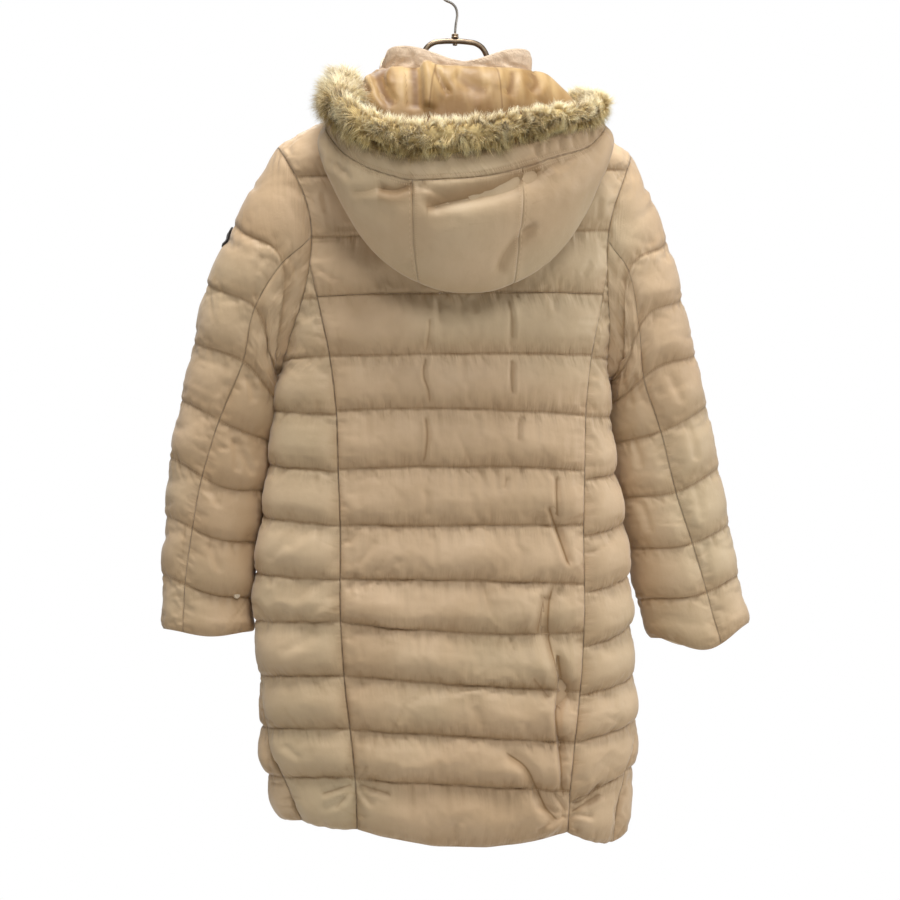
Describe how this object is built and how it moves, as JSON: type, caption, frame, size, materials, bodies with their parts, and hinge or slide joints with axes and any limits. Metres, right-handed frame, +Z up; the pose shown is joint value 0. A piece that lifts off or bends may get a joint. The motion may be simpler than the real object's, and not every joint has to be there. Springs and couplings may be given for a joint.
{
  "type": "long puffer coat on a hanger",
  "caption": "Long quilted down coat with princess seams, set-in sleeves, a dropped hood with fur trim and a front zip, hanging on a metal hanger.",
  "frame": {"origin": "inside top of the hanger's hook, where it rests on a rail", "axes": "+Z up, +Y out of the coat's back, -Y out of its zipped front, +X towards its wearer's left"},
  "size_m": [0.7177, 0.262, 1.0485],
  "materials": {
    "back_centre": "fine down-proof cloth, soft sheen",
    "back_yoke": "fine down-proof cloth, soft sheen",
    "back_side_left": "fine down-proof cloth, soft sheen",
    "back_side_right": "fine down-proof cloth, soft sheen",
    "front_left": "fine down-proof cloth, soft sheen",
    "front_right": "fine down-proof cloth, soft sheen",
    "sleeve_left_upper": "fine down-proof cloth, soft sheen",
    "sleeve_left_under": "fine down-proof cloth, soft sheen",
    "sleeve_right_upper": "fine down-proof cloth, soft sheen",
    "sleeve_right_under": "fine down-proof cloth, soft sheen",
    "hood_middle": "fine down-proof cloth, soft sheen",
    "hood_side_left": "fine down-proof cloth, soft sheen",
    "hood_side_right": "fine down-proof cloth, soft sheen",
    "hood_band": "fine down-proof cloth, soft sheen",
    "collar": "fine down-proof cloth, soft sheen",
    "sleeve_badge": "woven tab",
    "hood_lining": "smooth lining cloth",
    "fur_trim": "fur on a strip",
    "zip_tape_left": "woven tape",
    "zip_tape_right": "woven tape",
    "hanger_bar": "dark bronze finish",
    "hanger_nut": "dark bronze finish",
    "hanger_hook": "dark bronze finish",
    "zip_slider": "dark bronze finish",
    "zip_bridge": "dark bronze finish",
    "zip_pull": "dark bronze finish"
  },
  "bodies": {
    "coat": {"back_centre": "back_centre", "back_yoke": "back_yoke", "back_side_left": "back_side_left", "back_side_right": "back_side_right", "front_left": "front_left", "front_right": "front_right", "sleeve_left_upper": "sleeve_left_upper", "sleeve_left_under": "sleeve_left_under", "sleeve_right_upper": "sleeve_right_upper", "sleeve_right_under": "sleeve_right_under", "hood_middle": "hood_middle", "hood_side_left": "hood_side_left", "hood_side_right": "hood_side_right", "hood_band": "hood_band", "collar": "collar", "sleeve_badge": "sleeve_badge", "hood_lining": "hood_lining", "fur_trim": "fur_trim", "zip_tape_left": "zip_tape_left", "zip_tape_right": "zip_tape_right", "hanger_bar": "hanger_bar", "hanger_nut": "hanger_nut", "hanger_hook": "hanger_hook", "zip_slider": "zip_slider", "zip_bridge": "zip_bridge"},
    "pull": {"zip_pull": "zip_pull"}
  },
  "joints": [
    {"name": "zip_pull_hinge", "type": "hinge", "parent": "coat", "child": "pull", "pos_m": [0, -0.06864, -0.268], "axis": [-1, 0, 0], "range_deg": [0, 160]}
  ]
}
